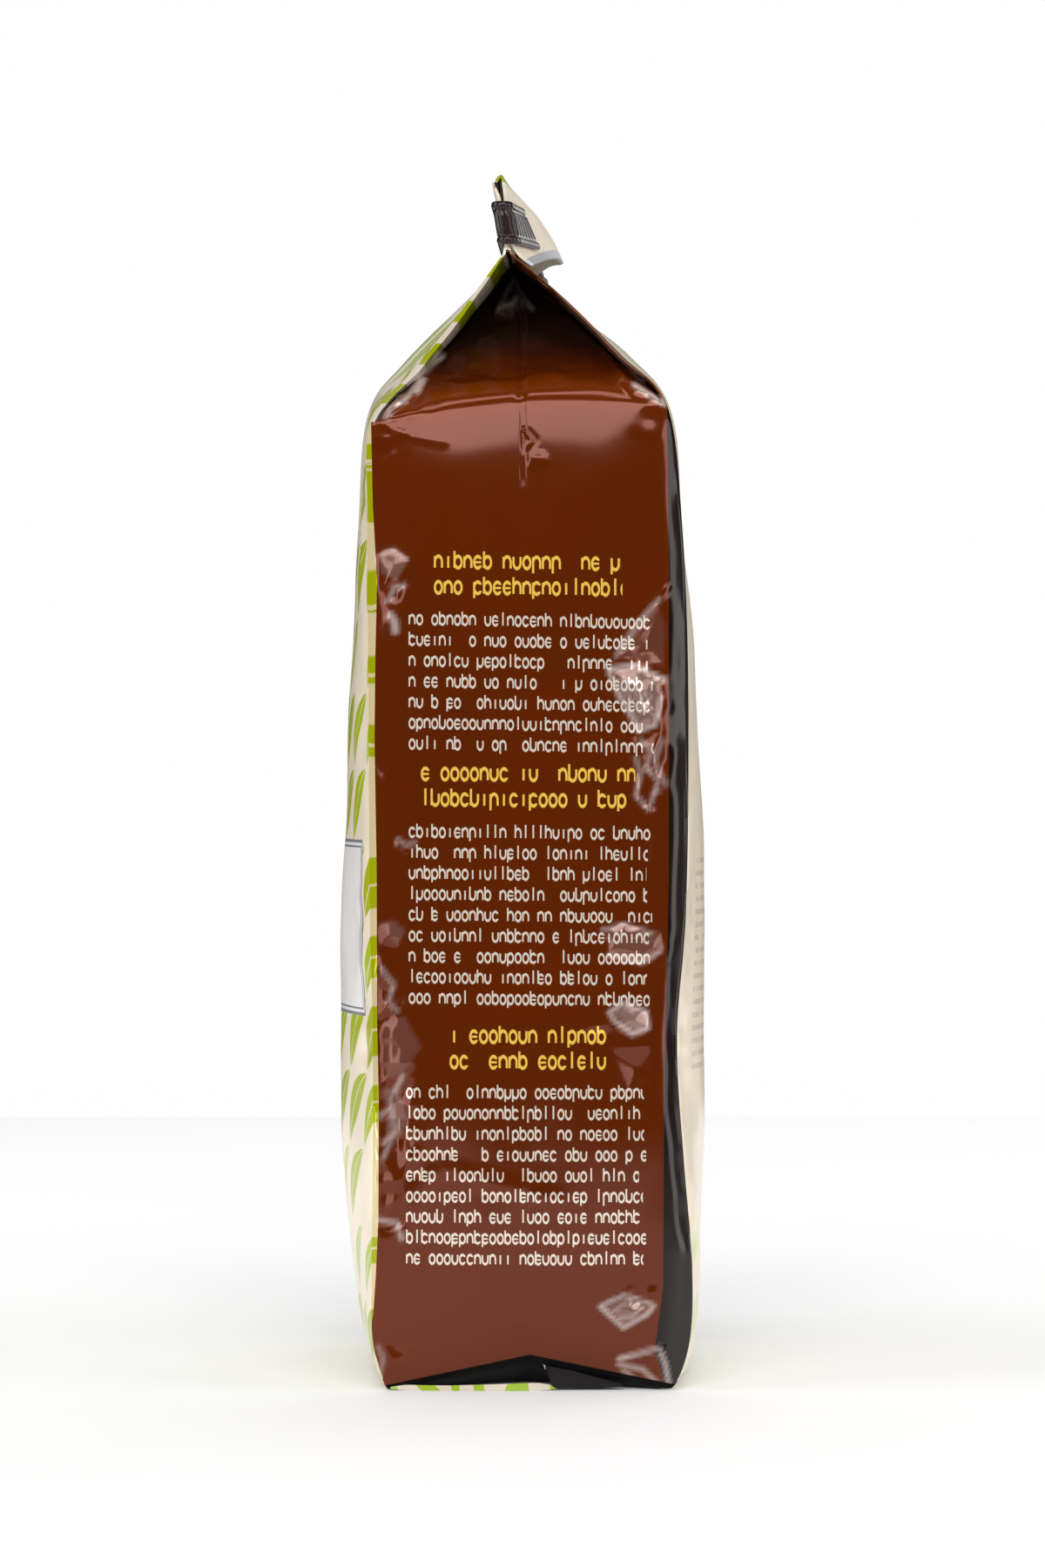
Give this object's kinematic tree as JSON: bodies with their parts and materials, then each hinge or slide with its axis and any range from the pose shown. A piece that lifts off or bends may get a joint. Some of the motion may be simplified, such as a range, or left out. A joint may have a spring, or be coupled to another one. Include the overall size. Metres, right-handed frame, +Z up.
{
  "type": "coffee bag",
  "caption": "Filled side-gusset coffee bag in glossy foil film, standing upright, with its top folded over and held by a tin tie.",
  "frame": {"origin": "centre of the bounding box's underside, on the surface that the bag stands on", "axes": "+Z up along the bag's height, -Y out of the front panel, +X out of the narrow gusset that the picture shows"},
  "size_m": [0.087, 0.0808, 0.2607],
  "materials": {
    "bag_film": "glossy printed film",
    "tie_plastic": "satin plastic over wire"
  },
  "bodies": {
    "root": {"bag": "bag_film", "tin_tie": "tie_plastic"}
  },
  "joints": []
}
